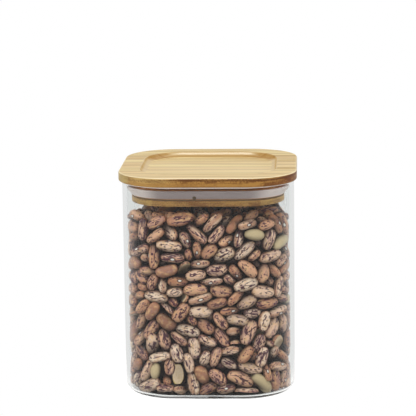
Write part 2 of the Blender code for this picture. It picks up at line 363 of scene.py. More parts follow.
jar_section = [(heel_out - FLAT_MARGIN, 0)]
jar_section += arc(heel_out, HEEL_RADIUS, HEEL_RADIUS, -90, 0, steps=10)
jar_section += [(jar_half, HEEL_RADIUS + FLAT_MARGIN)]
jar_section += [(jar_half, jar_height - RIM_RADIUS - FLAT_MARGIN)]
jar_section += arc(jar_half - RIM_RADIUS, jar_height - RIM_RADIUS, RIM_RADIUS, 0, 90, steps=6)
jar_section += arc(inside_half + RIM_RADIUS, jar_height - RIM_RADIUS, RIM_RADIUS, 90, 180, steps=6)
jar_section += [(inside_half, jar_height - RIM_RADIUS - FLAT_MARGIN)]
jar_section += [(inside_half, JAR_FLOOR + INSIDE_HEEL_RADIUS + FLAT_MARGIN)]
jar_section += arc(inside_heel_out, JAR_FLOOR + INSIDE_HEEL_RADIUS, INSIDE_HEEL_RADIUS, 0, -90, steps=8)
jar_section += [(inside_heel_out - FLAT_MARGIN, JAR_FLOOR)]
jar_section = [(out, height, jar_reach) for out, height in jar_section]
jar = add_squared("clear_glass_jar", jar_section, clear_glass)
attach(jar, "jar")
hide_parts("glass_jar")


# Dried speckled beans, poured in loose up to the lid: mottled pinkish tan ones with wine-red
# streaks, a few plain brown ones, and some that have split and lost their skin.
BEAN_SEED = 7
BEAN_COUNT = 2020
BEAN_LENGTH = 0.0130
BEAN_WIDTH = 0.0073
BEAN_THICKNESS = 0.0056
BEAN_SHAPE_SPREAD = (0.16, 0.10, 0.10)
BEAN_FIT = 0.97
BEAN_TIP = 0.95
BEAN_MIDDLE = 0.2
BEAN_TILT = math.radians(8)
BEAN_HEADING = math.radians(38)
BEAN_SIZE_SPREAD = 0.13
BEAN_GAP = 0.0001
POUR_SPREAD = 1.45
POUR_STEPS = 900
POUR_RELAX = 0.7
POUR_TURN = 0.13
POUR_FALL = 0.00016
POUR_FALL_FADE = 1.1
POUR_SETTLE = 0.00001
POUR_SETTLE_UNTIL = 0.95
SLOPE_SIDE_FROM = 0.0320
SLOPE_BACK_FROM = -0.0400
SLOPE_BACK_RUN = 0.0500
SLOPE_DROP = 0.0180
NEAR_MARGIN = 0.0016
STEPS_PER_SEARCH = 8
LONGEST_PUSH = 0.002
TINY = 1e-9


def out_of_corner(points):
    """How far points are outside the square on which the jar's corners are centred."""
    past = np.abs(points[..., :2]) - jar_reach
    return np.linalg.norm(np.maximum(past, 0), axis=-1) + np.minimum(past.max(-1), 0)


class Pour:
    """Loose beans in the jar, each of them six balls that hold together.

    They sink a little at each step, and balls that overlap push each other apart and turn their
    beans, until all of them lie still on the floor, along the glass and on one another.
    """

    def __init__(self):
        draw = np.random.default_rng(BEAN_SEED)
        spread = 1 + draw.uniform(-1, 1, (BEAN_COUNT, 3)) * BEAN_SHAPE_SPREAD
        spread *= 1 + draw.uniform(-1, 1, (BEAN_COUNT, 1)) * BEAN_SIZE_SPREAD
        self.halves = np.array([BEAN_LENGTH, BEAN_WIDTH, BEAN_THICKNESS]) / 2 * spread
        long, wide, thick = self.halves.T
        tip = thick * BEAN_TIP
        middle = BEAN_MIDDLE * long
        along = np.stack([long - tip, tip - long, middle, -middle, middle, -middle], 1)
        level = 0 * long
        across = np.stack([level, level, wide - thick, wide - thick, thick - wide, thick - wide], 1)
        self.balls = np.stack([along, across, 0 * along], 2)
        self.radii = np.stack([tip, tip, thick, thick, thick, thick], 1)
        self.per_bean = self.radii.shape[1]
        self.owner = np.repeat(np.arange(BEAN_COUNT), self.per_bean)
        self.spin_ease = 1 / ((long**2 + wide**2) / 5)
        self.room = inside_half - BEAN_GAP
        self.low = JAR_FLOOR + BEAN_GAP
        self.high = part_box("lid_plug_board")[0].z - BEAN_GAP
        start_height = (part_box("bean_fill")[1].z - self.low) * POUR_SPREAD
        heights = self.low + np.arange(BEAN_COUNT) / BEAN_COUNT * start_height
        level = draw.uniform(-1, 1, (BEAN_COUNT, 2)) * (self.room - BEAN_LENGTH / 2)
        self.places = np.column_stack([level, heights])
        self.turns = np.tile(np.eye(3), (BEAN_COUNT, 1, 1))
        roll = draw.uniform(0, 2 * np.pi, BEAN_COUNT)
        tilt = draw.normal(0, BEAN_TILT, BEAN_COUNT)
        along_side = np.abs(level[:, 0]) > np.abs(level[:, 1])
        heading = draw.normal(0, BEAN_HEADING, BEAN_COUNT) + along_side * np.pi / 2
        for axis, angles in ((0, roll), (1, tilt), (2, heading)):
            self.turn(angles[:, None] * np.eye(3)[axis])

    def near(self, balls):
        """Pairs of balls of different beans that might touch within the next few steps."""
        reach = BEAN_LENGTH * (1 + max(BEAN_SHAPE_SPREAD)) + NEAR_MARGIN
        gaps = sum((self.places[:, None, axis] - self.places[:, axis]) ** 2 for axis in range(3))
        one, other = np.nonzero(np.triu(gaps < reach**2, 1))
        gaps = np.linalg.norm(balls[one][:, :, None] - balls[other][:, None], axis=3)
        touch = self.radii[one][:, :, None] + self.radii[other][:, None] + NEAR_MARGIN
        pair, first, second = np.nonzero(gaps < touch)
        return one[pair] * self.per_bean + first, other[pair] * self.per_bean + second

    def gathered(self, balls, values):
        """The sum of what each bean's balls get."""
        beans = self.owner[balls]
        return np.stack([np.bincount(beans, column, BEAN_COUNT) for column in values.T], 1)

    def ease(self, balls, levers):
        """How readily a push at a ball moves and turns its bean."""
        return 1 + (levers**2).sum(1) * self.spin_ease[self.owner[balls]]

    def walls(self, points, radii):
        """What the glass, the floor and the lid push back: which balls, how deep, and which way."""
        past = np.abs(points[:, :2]) - jar_reach
        corner = np.maximum(past, 0)
        nearer = (past == past.max(1)[:, None]).astype(float)
        way = np.where((past > 0).any(1)[:, None], corner, nearer) * np.sign(points[:, :2])
        way = -way / np.maximum(np.linalg.norm(way, axis=1), TINY)[:, None]
        past_side = out_of_corner(points) - (self.room - jar_reach)
        into_heel = np.maximum(past_side + INSIDE_HEEL_RADIUS, 0)
        under_heel = np.maximum(self.low + INSIDE_HEEL_RADIUS - points[:, 2], 0)
        slant = np.hypot(into_heel, under_heel)
        in_heel = (into_heel > 0) & (under_heel > 0)
        past_heel = np.where(in_heel, slant - INSIDE_HEEL_RADIUS, -1)
        heel_ways = np.column_stack([way * into_heel[:, None], under_heel])
        heel_ways /= np.maximum(slant, TINY)[:, None]
        sides = np.column_stack([way, 0 * past_side])
        upward = 0 * sides + [0, 0, 1]
        below = self.low - points[:, 2]
        to_side = (np.abs(points[:, 0]) - SLOPE_SIDE_FROM) / (self.room - SLOPE_SIDE_FROM)
        to_back = (points[:, 1] - SLOPE_BACK_FROM) / SLOPE_BACK_RUN
        above = points[:, 2] - self.high + SLOPE_DROP * np.clip(to_side, 0, 1) * np.clip(to_back, 0, 1)
        all_depths = np.concatenate([past_side, past_heel, below, above]) + np.tile(radii, 4)
        all_ways = np.concatenate([sides, heel_ways, upward, -upward])
        balls = np.tile(np.arange(len(points)), 4)
        hit = all_depths > 0
        return balls[hit], all_depths[hit], all_ways[hit]

    def kept_inside(self, points):
        """The points of beans' skins, with those that are past the glass, floor or lid moved in."""
        points = points.copy()
        past, depths, ways = self.walls(points, np.zeros(len(points)))
        np.add.at(points, past, depths[:, None] * ways)
        return points

    def step(self, fall, search):
        arms = np.einsum("nij,nkj->nki", self.turns, self.balls)
        balls = self.places[:, None] + arms
        if search:
            self.pairs = self.near(balls)
        points, arms, radii = balls.reshape(-1, 3), arms.reshape(-1, 3), self.radii.reshape(-1)
        one, other = self.pairs
        apart = points[one] - points[other]
        gaps = np.linalg.norm(apart, axis=1)
        depths = radii[one] + radii[other] - gaps
        hit = depths > 0
        one, other, depths = one[hit], other[hit], depths[hit]
        ways = apart[hit] / np.maximum(gaps[hit], TINY)[:, None]
        wall, wall_depths, wall_ways = self.walls(points, radii)
        levers = np.cross(arms[one], ways)
        other_levers = np.cross(arms[other], ways)
        wall_levers = np.cross(arms[wall], wall_ways)
        push = depths / (self.ease(one, levers) + self.ease(other, other_levers))
        wall_push = wall_depths / self.ease(wall, wall_levers)
        push, wall_push = push[:, None], wall_push[:, None]
        moves = self.gathered(one, push * ways) - self.gathered(other, push * ways)
        moves += self.gathered(wall, wall_push * wall_ways)
        spins = self.gathered(one, push * levers) - self.gathered(other, push * other_levers)
        spins += self.gathered(wall, wall_push * wall_levers)
        moves *= POUR_RELAX
        lengths = np.maximum(np.linalg.norm(moves, axis=1), TINY)
        self.places += moves * np.minimum(1, LONGEST_PUSH / lengths)[:, None]
        self.places[:, 2] -= fall
        self.turn(spins * self.spin_ease[:, None] * POUR_TURN)

    def turn(self, spins):
        """Turn each bean about its spin's direction, by its spin's length."""
        angles = np.linalg.norm(spins, axis=1)
        x, y, z = (spins / np.maximum(angles, TINY)[:, None]).T
        level = 0 * x
        cross = np.stack([level, -z, y, z, level, -x, -y, x, level], 1).reshape(-1, 3, 3)
        sine = np.sin(angles)[:, None, None]
        rest = 1 - np.cos(angles)[:, None, None]
        self.turns = (np.eye(3) + sine * cross + rest * (cross @ cross)) @ self.turns

    def settle(self):
        steps = POUR_STEPS
        for step in range(steps):
            share = step / steps
            fall = POUR_FALL * max(0, 1 - share * POUR_FALL_FADE)
            fall += POUR_SETTLE * (share < POUR_SETTLE_UNTIL)
            self.step(fall, step % STEPS_PER_SEARCH == 0)
        sides, _, others = np.linalg.svd(self.turns)
        self.turns = sides @ others


pour = Pour()
pour.settle()
POUR_TOP_SHARE = 0.985
NEAR_GLASS = 0.0075
NEAR_RINGS = 9
NEAR_RING_POINTS = 14
DEEP_RINGS = 6
DEEP_RING_POINTS = 8
BEAN_BLUNTNESS = (0.60, 0.82)
BEAN_BEND = (0.02, 0.18)
BEAN_BEND_MIDDLE = 0.4
BEAN_BULGES = 0.05
BEAN_OVAL = 0.03
SPLIT_SHARE = 0.055
SPLIT_AT = -0.06
SPLIT_HOLLOW = 0.16
SHADE_FROM = 0.0004
SHADE_FULL = 0.0040


def bean_mould(rings, points):
    """A round form on which a bean is shaped: each point's place along it and round it, and faces."""
    steps = np.arange(1, rings) / rings * np.pi
    angles = np.arange(points) / points * 2 * np.pi
    along, around = (grid.reshape(-1) for grid in np.meshgrid(steps, angles, indexing="ij"))
    along = np.concatenate([[0], along, [np.pi]])
    around = np.concatenate([[0], around, [0]])
    last = len(along) - 1
    faces = []
    for point in range(points):
        after = (point + 1) % points
        faces.append((0, 1 + point, 1 + after))
        for ring in range(rings - 2):
            start = 1 + ring * points
            faces.append((start + point, start + points + point, start + points + after, start + after))
        start = 1 + (rings - 2) * points
        faces.append((start + point, last, start + after))
    return along, around, faces


def add_beans(name, chosen, rings, ring_points, split=False):
    """Beans as one piece: those at the given numbers, whole or split along their length."""
    along, around, faces = bean_mould(rings, ring_points)
    draw = np.random.default_rng(BEAN_SEED + len(chosen))
    turns = pour.turns[chosen]
    points_per_bean = len(along)
    bluntness = draw.uniform(*BEAN_BLUNTNESS, (len(chosen), 1))
    bend = draw.uniform(*BEAN_BEND, (len(chosen), 1))
    lobes = draw.uniform(0, 2 * np.pi, (len(chosen), 1))
    length = np.cos(along)[None, :]
    girth = np.sin(along)[None, :] ** bluntness
    bulges = BEAN_BULGES * np.sin(3 * length + lobes)
    girth *= 1 + bulges + BEAN_OVAL * np.cos(2 * around + lobes)
    x = length + 0 * girth
    y = girth * np.cos(around) + bend * (length**2 - BEAN_BEND_MIDDLE)
    z = girth * np.sin(around)
    if split:
        faces_inward = (turns[:, :2, 2] * pour.places[chosen, :2]).sum(1) > 0
        turns = np.where(faces_inward[:, None, None], turns * [1, -1, -1], turns)
        on_cut = z < SPLIT_AT
        hollow = SPLIT_HOLLOW * np.maximum(0, 1 - x**2 - y**2)
        z = np.where(on_cut, SPLIT_AT + hollow, z)
    shares = np.stack([x, y, z], 2)
    local = shares * pour.halves[chosen][:, None] * BEAN_FIT
    places = np.einsum("nij,nkj->nki", turns, local) + pour.places[chosen][:, None]
    places = pour.kept_inside(places.reshape(-1, 3)).reshape(places.shape)
    face_points = np.concatenate([np.array(face) for face in faces])
    face_sizes = np.array([len(face) for face in faces])
    offsets = np.arange(len(chosen))[:, None] * points_per_bean
    corners = (face_points[None, :] + offsets).reshape(-1)
    sizes = np.tile(face_sizes, len(chosen))
    starts = np.concatenate([[0], np.cumsum(sizes)[:-1]])
    mesh = bpy.data.meshes.new(name)
    mesh.vertices.add(len(chosen) * points_per_bean)
    mesh.vertices.foreach_set("co", places.reshape(-1).astype(np.float32))
    mesh.loops.add(len(corners))
    mesh.loops.foreach_set("vertex_index", corners.astype(np.int32))
    mesh.polygons.add(len(sizes))
    mesh.polygons.foreach_set("loop_start", starts.astype(np.int32))
    mesh.polygons.foreach_set("loop_total", sizes.astype(np.int32))
    mesh.update(calc_edges=True)
    mesh.shade_smooth()
    mesh.materials.append(speckled_skin)
    if split:
        mesh.materials.append(split_flesh)
        first = np.concatenate([[0], np.cumsum(face_sizes)[:-1]])
        cut = np.logical_and.reduceat(on_cut[:, face_points], first, axis=1)
        mesh.polygons.foreach_set("material_index", cut.reshape(-1).astype(np.int32))
        mesh.set_sharp_from_angle(angle=SHARP_ANGLE)
    # Painted shade: in_shade grows with each point's distance from the glass, from the pile's top and from
    # the jar's floor.
    to_glass = inside_half - jar_reach - out_of_corner(places)
    to_open = np.minimum(pour_top - places[..., 2], places[..., 2] - JAR_FLOOR)
    shade = (np.minimum(to_glass, to_open) - SHADE_FROM) / (SHADE_FULL - SHADE_FROM)
    tints = np.repeat(draw.uniform(0, 1, (len(chosen), 3)), points_per_bean, axis=0)
    for title, values in (("on_bean", shares), ("bean_tint", tints)):
        attribute = mesh.attributes.new(title, "FLOAT_VECTOR", "POINT")
        attribute.data.foreach_set("vector", values.reshape(-1).astype(np.float32))
    attribute = mesh.attributes.new("in_shade", "FLOAT", "POINT")
    attribute.data.foreach_set("value", np.clip(shade, 0, 1).reshape(-1).astype(np.float32))
    beans = bpy.data.objects.new(name, mesh)
    scene.collection.objects.link(beans)
    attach(beans, "jar")
    return beans


BROWN = (0.45, 0.205, 0.115, 1)
TAN = (0.74, 0.395, 0.235, 1)
BEIGE = (0.92, 0.635, 0.455, 1)
CREAM = (0.94, 0.75, 0.57, 1)
GOLD = (0.82, 0.52, 0.25, 1)
EDGE_SHADE = (0.42, 0.165, 0.080, 1)
PLUM = (0.36, 0.18, 0.18, 1)
WINE = (0.060, 0.008, 0.030, 1)
SCAR = (0.88, 0.85, 0.78, 1)
SCAR_RING = (0.12, 0.05, 0.03, 1)
PEELED = (0.66, 0.52, 0.30, 1)
FLESH_LIGHT = (1.0, 0.79, 0.55, 1)
FLESH_DARK = (0.90, 0.66, 0.40, 1)
FLESH_RIM = (0.82, 0.66, 0.17, 1)
FLESH_SHADE = (0.10, 0.048, 0.022, 1)
DEEP_SHADE = (0.026, 0.010, 0.010, 1)
MILLIMETRES = (6.7, 3.9, 3.15)
APART = (370.0, 410.0, 430.0)
TAN_SHADES = (0.05, 0.35)
BEIGE_SHADES = (0.30, 0.72)
CREAM_SHADES = (0.75, 1.0)
PEELED_SHADES = (0.015, 0.016)
MARKED_SHADES = (0.09, 0.12)
CREAM_SHARE = 0.8
MOTTLE_SCALE = 0.45
MOTTLED = (0.45, 0.68)
GOLD_SHARE = 0.7
CLOUD_SCALE = (0.25, 0.5, 0.5)
CLOUDED = (0.58, 0.72)
CLOUDIER = 0.15
PLUM_SHARE = 0.55
FACE_FROM_RIM = (0.15, 0.65)
EDGE_SHADE_SHARE = 0.65
STROKE_SCALE = (0.20, 0.60, 0.60)
STROKE_WIDTH = (0.038, 0.064)
BREAK_SCALE = (0.24, 0.50, 0.50)
STROKE_BREAKS = (0.56, 0.60)
MORE_STROKES = 0.14
STRIPE_SHIFT = 0.9
STRIPE_WANDER = 1.2
STRIPE_WIDTH = (0.12, 0.19)
STRIPE_BREAKS = (0.34, 0.40)
STRIPED_BEANS = (0.60, 0.62)
FOLD_SHIFT = 0.7
FOLD_WANDER = 1.5
FOLD_WIDTH = (0.09, 0.16)
FOLD_LENGTH = (0.45, 0.60)
FOLDED_BEANS = (0.42, 0.44)
DOT_SCALE = (0.50, 0.70, 0.70)
DOT_SPREAD = 0.40
DOT_SMALLEST = -0.10
DOT_MORE = 0.10
DOT_EDGE = 0.07
WINE_SHARE = 0.95
SCAR_LENGTH = 0.17
SCAR_WIDTH = 0.20
SCAR_FILL = (0.6, 1.0)
SCAR_RING_FILL = (1.8, 3.2)
BELLY = (0.3, 0.4)
UNDERSIDE = (0.0, 0.80)
UNDERSIDE_SHARE = 0.48
DEEP_SHARE = 0.93
SKIN_ROUGHNESS = 0.42
FLESH_ROUGHNESS = 0.50
GRAIN_SCALE = 4.0
GRAIN = (0.35, 0.7)
FLESH_RIM_WIDTH = (0.80, 0.96)
FLESH_RIM_SHARE = 0.7
FLESH_UNDERSIDE_SHARE = 0.42
FLESH_DEEP = (0.4, 1.0)
FLESH_DEEP_SHARE = 0.55

speckled_skin = bpy.data.materials.new("speckled_bean_skin")
skin = Finish(speckled_skin)
spot = skin.node("ShaderNodeAttribute", (), "Vector", attribute_name="on_bean")
tint = skin.node("ShaderNodeAttribute", (), "Vector", attribute_name="bean_tint")
in_shade = skin.node("ShaderNodeAttribute", (), "Fac", attribute_name="in_shade")
x, y, z = spot.parts()
shade, speckled, streaky = tint.parts()
away = skin.stretched(tint, APART)
on_own = {0: skin.stretched(spot, MILLIMETRES), 1: away}
own = skin.node("ShaderNodeVectorMath", on_own, operation="ADD")
colour = skin.mix(shade.ramp(*TAN_SHADES), BROWN, TAN)
colour = skin.mix(shade.ramp(*BEIGE_SHADES), colour, BEIGE)
colour = skin.mix(shade.ramp(*CREAM_SHADES) * CREAM_SHARE, colour, CREAM)
mottle = skin.noise(own, MOTTLE_SCALE, detail=3.0)
colour = skin.mix(mottle.ramp(*MOTTLED) * GOLD_SHARE, colour, GOLD)
clouds = skin.noise(skin.stretched(own, CLOUD_SCALE))
colour = skin.mix((clouds + streaky * CLOUDIER).ramp(*CLOUDED) * PLUM_SHARE, colour, PLUM)
# Painted shade: darker and redder along each bean's narrow sides, away from its broad faces.
face = z.math("ABSOLUTE").ramp(*FACE_FROM_RIM)
colour = skin.mix((1.0 - face) * EDGE_SHADE_SHARE, colour, EDGE_SHADE)
wander = skin.noise(skin.stretched(own, STROKE_SCALE), detail=1.0)
strokes = (wander - 0.5).math("ABSOLUTE")
broken = skin.noise(skin.stretched(own, BREAK_SCALE), detail=1.0)
unbroken = broken + streaky * MORE_STROKES
strokes = (1.0 - strokes.ramp(*STROKE_WIDTH)) * unbroken.ramp(*STROKE_BREAKS)
from_line = (z - (speckled - 0.5) * STRIPE_SHIFT + (wander - 0.5) * STRIPE_WANDER).math("ABSOLUTE")
stripe = (1.0 - from_line.ramp(*STRIPE_WIDTH)) * streaky.ramp(*STRIPED_BEANS)
stripe = stripe * broken.ramp(*STRIPE_BREAKS)
from_fold = (y - (streaky - 0.5) * FOLD_SHIFT + (wander - 0.5) * FOLD_WANDER).math("ABSOLUTE")
from_tips = 1.0 - x.math("ABSOLUTE").ramp(*FOLD_LENGTH)
fold = (1.0 - from_fold.ramp(*FOLD_WIDTH)) * face * from_tips
fold = fold * speckled.ramp(*FOLDED_BEANS)
cells = skin.stretched(own, DOT_SCALE)
near_dot = skin.node("ShaderNodeTexVoronoi", {"Vector": cells, "Scale": 1.0}, "Distance")
dot_kind = skin.node("ShaderNodeTexVoronoi", {"Vector": cells, "Scale": 1.0}, "Color").parts()[0]
dot_size = dot_kind * DOT_SPREAD + DOT_SMALLEST + speckled * DOT_MORE
dots = 1.0 - (near_dot - dot_size).ramp(0.0, DOT_EDGE)
marks = strokes.math("MAXIMUM", stripe).math("MAXIMUM", dots).math("MAXIMUM", fold)
marks = marks * shade.ramp(*MARKED_SHADES)
colour = skin.mix(marks * WINE_SHARE, colour, WINE)
scar = (x / SCAR_LENGTH).math("POWER", 2.0) + (z / SCAR_WIDTH).math("POWER", 2.0)
on_belly = y.ramp(*BELLY)
colour = skin.mix((1.0 - scar.ramp(*SCAR_RING_FILL)) * on_belly, colour, SCAR_RING)
colour = skin.mix((1.0 - scar.ramp(*SCAR_FILL)) * on_belly, colour, SCAR)
colour = skin.mix(1.0 - shade.ramp(*PEELED_SHADES), colour, PEELED)
# Painted shade: darker on the undersides, and darker deeper in the pile by in_shade.
upward = skin.node("ShaderNodeTexCoord", (), "Normal").parts()[2]
colour = skin.mix((0.0 - upward).ramp(*UNDERSIDE) * UNDERSIDE_SHARE, colour, DEEP_SHADE)
colour = skin.mix(in_shade.ramp(0.0, 1.0) * DEEP_SHARE, colour, DEEP_SHADE)
surface = skin.node("ShaderNodeBsdfPrincipled", {
    "Base Color": colour,
    "Roughness": SKIN_ROUGHNESS,
    "Specular IOR Level": 0.30,
})
skin.node("ShaderNodeOutputMaterial", {"Surface": surface})

split_flesh = bpy.data.materials.new("split_bean_flesh")
flesh = Finish(split_flesh)
spot = flesh.node("ShaderNodeAttribute", (), "Vector", attribute_name="on_bean")
in_shade = flesh.node("ShaderNodeAttribute", (), "Fac", attribute_name="in_shade")
x, y, _ = spot.parts()
grain = flesh.noise(spot, GRAIN_SCALE, detail=3.0)
colour = flesh.mix(grain.ramp(*GRAIN), FLESH_LIGHT, FLESH_DARK)
colour = flesh.mix((x * x + y * y).ramp(*FLESH_RIM_WIDTH) * FLESH_RIM_SHARE, colour, FLESH_RIM)
# Painted shade, as on the skin: darker on the undersides and deeper in the pile.
upward = flesh.node("ShaderNodeTexCoord", (), "Normal").parts()[2]
colour = flesh.mix((0.0 - upward).ramp(*UNDERSIDE) * FLESH_UNDERSIDE_SHARE, colour, FLESH_SHADE)
colour = flesh.mix(in_shade.ramp(*FLESH_DEEP) * FLESH_DEEP_SHARE, colour, FLESH_SHADE)
sockets = {"Base Color": colour, "Roughness": FLESH_ROUGHNESS}
surface = flesh.node("ShaderNodeBsdfPrincipled", sockets)
flesh.node("ShaderNodeOutputMaterial", {"Surface": surface})

numbers = np.arange(BEAN_COUNT)
pour_top = np.quantile(pour.places[:, 2], POUR_TOP_SHARE) + BEAN_THICKNESS / 2
is_split = np.random.default_rng(BEAN_SEED + 1).uniform(0, 1, BEAN_COUNT) < SPLIT_SHARE
from_glass = inside_half - jar_reach - out_of_corner(pour.places)
from_open = np.minimum(pour_top - pour.places[:, 2], pour.places[:, 2] - JAR_FLOOR)
is_near = np.minimum(from_glass, from_open) < NEAR_GLASS
near_beans = add_beans("beans_by_the_glass", numbers[is_near & ~is_split], NEAR_RINGS, NEAR_RING_POINTS)
add_beans("beans_within", numbers[~is_near & ~is_split], DEEP_RINGS, DEEP_RING_POINTS)
add_beans("split_beans", numbers[is_split], NEAR_RINGS, NEAR_RING_POINTS, split=True)
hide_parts("bean_fill")


# The lid's top board is glued up from bamboo strips that run from side to side. A shallow
# recess with coved sides is routed in its top, its edges are eased, and it is lacquered.
BOARD_CORNER_RADIUS = 0.0285
BOARD_EDGE_RADIUS = 0.0009
RECESS_HALF_WIDTH = 0.0399
RECESS_CORNER_RADIUS = 0.0230
RECESS_DEPTH = 0.0030
COVE_RADIUS = 0.0057
RECESS_LIP_RADIUS = 0.0006
RECESS_LIP_TURN = 4
STRIP_WIDTH = 0.0100
GLUE_LINES = (0.415, 0.460)
GLUE_SHARE = 0.75
HUES_APART = 7.3
FIBRE_SCALE = (50.0, 1900.0, 1900.0)
FIBRE_CONTRAST = 3.0
STREAK_SCALE = (10.0, 210.0, 210.0)
STREAK_CONTRAST = 4.8
STRIP_CONTRAST = 0.5
STRIP_DARKNESS = 0.25
WARM_STRIPS = (0.40, 0.80)
WARM_SHARE = 0.6
SLOPE_TOP = (0.90, 0.99)
SLOPE_FOOT = (0.40, 0.60)
LIP_WIDTH = (0.0008, 0.0024)
FLOOR_EDGE = (0.0001, 0.0006)
FLOOR_SHARE = 0.18
SLOPE_SHARE = 0.80
COVE_ENDS = (0.15, 0.45)
COVE_ENDS_UP = (0.58, 0.86)
COVE_FOOT_UP = (0.70, 0.82)
COVE_FOOT_FRONT = (0.10, 0.25)
COVE_FOOT_SHARE = 0.9
COVE_TURN_SIDE = (0.22, 0.40)
COVE_TURN_FRONT = (0.10, 0.30)
COVE_GLEAM = (0.35, 0.65)
COVE_COAT = 0.60
COVE_COAT_LOST = 0.50
LINE_SCALE = (60.0, 60.0, 900.0)
FIGURE_SCALE = (70.0, 130.0, 260.0)
PORE_SCALE = 1300.0
LINE_CONTRAST = 2.6
FIGURE_CONTRAST = 2.4
PORE_CONTRAST = 2.0
SIDE_BLEND = 0.25
BAMBOO_ROUGHNESS = 0.42
SAWN_ROUGHER = 0.3
FIBRE_BUMP = 0.0002
LACQUER_ROUGHNESS = 0.16
LACQUER_IOR = 1.8
BAMBOO_LIGHT = (0.84, 0.665, 0.315, 1)
BAMBOO_DARK = (0.56, 0.36, 0.115, 1)
BAMBOO_WARM = (0.78, 0.56, 0.27, 1)
BAMBOO_GLUE = (0.38, 0.22, 0.08, 1)
RECESS_FLOOR_PAINTED_LIGHT = (1.0, 0.86, 0.52, 1)
BAMBOO_COVE = (0.70, 0.53, 0.29, 1)
COVE_FOOT_SHADE = (0.38, 0.175, 0.020, 1)
BAMBOO_COVE_END = (0.54, 0.33, 0.10, 1)
EDGE_HIGHLIGHT = (0.92, 0.80, 0.52, 1)
SIDE_LIGHT = (0.45, 0.225, 0.048, 1)
SIDE_DARK = (0.17, 0.062, 0.009, 1)
SIDE_PALE = (0.59, 0.405, 0.14, 1)
SIDE_END = (0.50, 0.36, 0.125, 1)
SIDE_RED = (0.18, 0.045, 0.003, 1)
SIDE_LINE = (0.10, 0.030, 0.006, 1)
SIDE_LINE_DROP = 0.0015
SIDE_LINE_HALF = 0.0007
SIDE_LINE_SPAN = (-0.035, -0.010)
SIDE_LINE_SHARE = 0.8
PALE_SPAN = (0.010, 0.034)
LOWER_HALF = (0.0015, 0.0035)
LEFT_TURN = (0.0, 0.4)
LEFT_END = (0.72, 0.77)
RIGHT_TURN = (0.20, 0.80)
BOARD_SHIFT = 0.0066
BOARD_TOP_FROM = 0.55

board_low, board_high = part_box("lid_top_board")
board_half = board_high.x
board_reach = board_half - BOARD_CORNER_RADIUS
recess_reach = RECESS_HALF_WIDTH - RECESS_CORNER_RADIUS
recess_floor = board_high.z - RECESS_DEPTH


